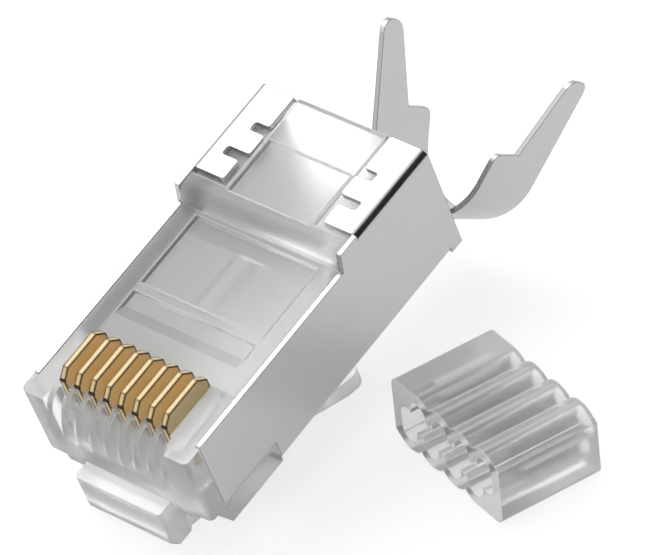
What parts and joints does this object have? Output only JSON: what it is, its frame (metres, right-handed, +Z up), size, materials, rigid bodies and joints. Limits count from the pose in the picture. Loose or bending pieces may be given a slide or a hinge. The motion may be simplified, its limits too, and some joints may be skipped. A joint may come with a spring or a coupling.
{
  "type": "shielded modular plug",
  "caption": "Clear modular network plug with proud gold blades, a folded metal shield with crimp wings, a sprung latch and a loose wire load bar beside it.",
  "frame": {"origin": "on the surface that the part lies on, under the middle of its bounding box", "axes": "+Z up from that surface; +X across the contacts, towards the load bar; +Y from the plug's nose towards its cable end, along the ground. The plug itself lies on its latch with its nose about 16 degrees down."},
  "size_m": [0.0242, 0.0348, 0.0151],
  "materials": {
    "clear_plastic": "clear polycarbonate, smooth and glossy",
    "nickel": "satin nickel plate on thin brass sheet",
    "gold": "thin gold plate on stamped phosphor bronze"
  },
  "bodies": {
    "plug": {"housing": "clear_plastic", "shield": "nickel", "load_bar": "clear_plastic"},
    "latch": {"latch": "clear_plastic"},
    "contact_1": {"contact_1": "gold"},
    "contact_2": {"contact_2": "gold"},
    "contact_3": {"contact_3": "gold"},
    "contact_4": {"contact_4": "gold"},
    "contact_5": {"contact_5": "gold"},
    "contact_6": {"contact_6": "gold"},
    "contact_7": {"contact_7": "gold"},
    "contact_8": {"contact_8": "gold"}
  },
  "joints": [
    {"name": "latch_hinge", "type": "hinge", "parent": "plug", "child": "latch", "pos_m": [-0.00624, -0.01455, 0.00113], "axis": [1, 0, 0], "range_deg": [0, 16], "stiffness_Nm_per_rad": 0.1},
    {"name": "contact_1_press", "type": "slide", "parent": "plug", "child": "contact_1", "axis": [0, 0.2751, -0.9614], "range_m": [0, 0.0015]},
    {"name": "contact_2_press", "type": "slide", "parent": "plug", "child": "contact_2", "axis": [0, 0.2751, -0.9614], "range_m": [0, 0.0015]},
    {"name": "contact_3_press", "type": "slide", "parent": "plug", "child": "contact_3", "axis": [0, 0.2751, -0.9614], "range_m": [0, 0.0015]},
    {"name": "contact_4_press", "type": "slide", "parent": "plug", "child": "contact_4", "axis": [0, 0.2751, -0.9614], "range_m": [0, 0.0015]},
    {"name": "contact_5_press", "type": "slide", "parent": "plug", "child": "contact_5", "axis": [0, 0.2751, -0.9614], "range_m": [0, 0.0015]},
    {"name": "contact_6_press", "type": "slide", "parent": "plug", "child": "contact_6", "axis": [0, 0.2751, -0.9614], "range_m": [0, 0.0015]},
    {"name": "contact_7_press", "type": "slide", "parent": "plug", "child": "contact_7", "axis": [0, 0.2751, -0.9614], "range_m": [0, 0.0015]},
    {"name": "contact_8_press", "type": "slide", "parent": "plug", "child": "contact_8", "axis": [0, 0.2751, -0.9614], "range_m": [0, 0.0015]}
  ]
}
